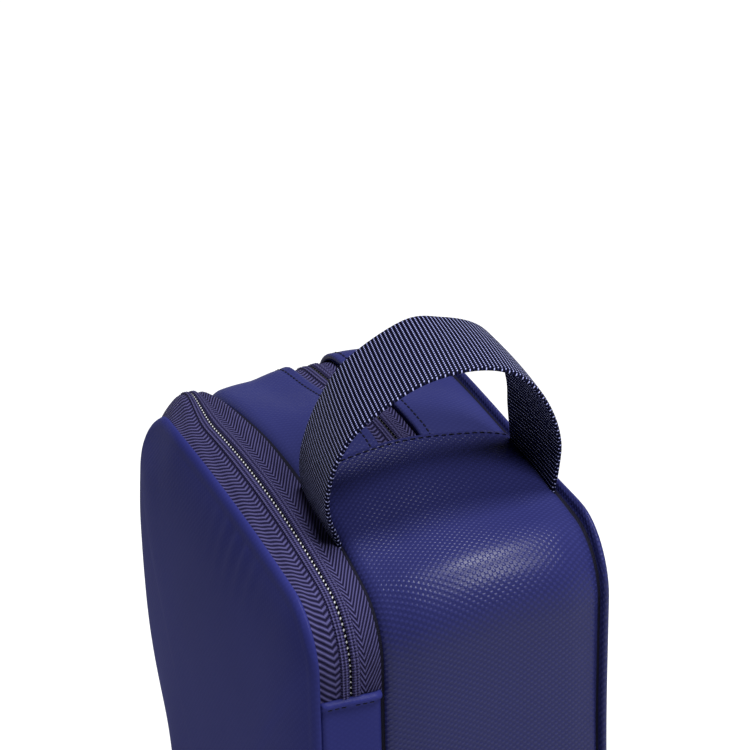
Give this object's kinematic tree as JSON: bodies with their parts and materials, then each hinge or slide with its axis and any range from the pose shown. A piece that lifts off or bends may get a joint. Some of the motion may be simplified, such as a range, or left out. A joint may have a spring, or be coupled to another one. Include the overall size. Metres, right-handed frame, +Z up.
{
  "type": "golf shoe bag",
  "caption": "Soft upright bag for a pair of golf shoes, with a zipped side-hinged door, a zipped side pocket and a webbing carry handle over the top.",
  "frame": {"origin": "centre of the bag's footprint on the floor", "axes": "+Z up; +X towards the side the door hinges on; -Y out of the door, +Y out of the back panel"},
  "size_m": [0.2251, 0.1258, 0.411],
  "materials": {
    "navy_cloth": "coated woven cloth with an embossed dot grain",
    "navy_panel": "smooth coated cloth",
    "lining": "plain lining cloth",
    "binding": "woven binding tape",
    "webbing": "ribbed woven webbing",
    "zip_tape": "herringbone woven zip tape",
    "coil": "nylon coil",
    "foam": "closed cell foam",
    "board": "polyethylene board",
    "slider_metal": "black painted die casting",
    "pull": "moulded pull tab"
  },
  "bodies": {
    "bag": {"side_panel_near": "navy_cloth", "zip_panel_front": "navy_cloth", "zip_panel_back": "navy_cloth", "side_panel_far_lower": "navy_cloth", "base_panel": "navy_cloth", "hinge_strip_body": "navy_cloth", "back_panel": "navy_cloth", "gusset_lining": "lining", "back_lining": "lining", "pocket_pouch": "lining", "front_seam_welt": "binding", "back_seam_welt": "binding", "front_seam_binding": "binding", "back_seam_binding": "binding", "handle_root_front": "webbing", "handle_root_back": "webbing", "zip_tape_body": "zip_tape", "pocket_tape_front": "zip_tape", "pocket_tape_back": "zip_tape", "zip_coil_body": "coil", "pocket_coil_front": "coil", "pocket_coil_back": "coil", "back_foam": "foam", "base_board": "board"},
    "door": {"front_panel": "navy_panel", "front_foam": "foam", "front_stiffener": "board", "front_lining": "lining", "front_panel_binding": "binding", "zip_tape_door": "zip_tape", "zip_coil_door": "coil", "hinge_strip_door": "navy_cloth"},
    "handle": {"handle_webbing": "webbing"},
    "upper_slider": {"zip_slider_upper": "slider_metal"},
    "lower_slider": {"zip_slider_lower": "slider_metal"},
    "pocket_slider_body": {"pocket_slider": "slider_metal"},
    "upper_pull": {"zip_pull_upper": "pull"},
    "lower_pull": {"zip_pull_lower": "pull"},
    "pocket_pull_body": {"pocket_pull": "pull"}
  },
  "joints": [
    {"name": "door_hinge", "type": "hinge", "parent": "bag", "child": "door", "pos_m": [0.106, -0.04688, 0.175], "axis": [0, 0, 1], "range_deg": [0, 150]},
    {"name": "handle_lean", "type": "hinge", "parent": "bag", "child": "handle", "pos_m": [0.041, 0.0119, 0.373], "axis": [0, 1, 0], "range_deg": [-70, 70]},
    {"name": "upper_slider_run", "type": "slide", "parent": "bag", "child": "upper_slider", "axis": [0, 0, 1], "range_m": [0, 0.08]},
    {"name": "lower_slider_run", "type": "slide", "parent": "bag", "child": "lower_slider", "axis": [0, 0, -1], "range_m": [0, 0.145]},
    {"name": "pocket_slider_run", "type": "slide", "parent": "bag", "child": "pocket_slider_body", "axis": [0, 0, 1], "range_m": [0, 0.15]},
    {"name": "upper_pull_swing", "type": "hinge", "parent": "upper_slider", "child": "upper_pull", "pos_m": [-0.1075, -0.04688, 0.223], "axis": [0, 1, 0], "range_deg": [0, 150]},
    {"name": "lower_pull_swing", "type": "hinge", "parent": "lower_slider", "child": "lower_pull", "pos_m": [-0.1075, -0.04688, 0.186], "axis": [0, 1, 0], "range_deg": [0, 150]},
    {"name": "pocket_pull_swing", "type": "hinge", "parent": "pocket_slider_body", "child": "pocket_pull_body", "pos_m": [-0.1117, 0.012, 0.149], "axis": [0, 1, 0], "range_deg": [0, 150]}
  ]
}
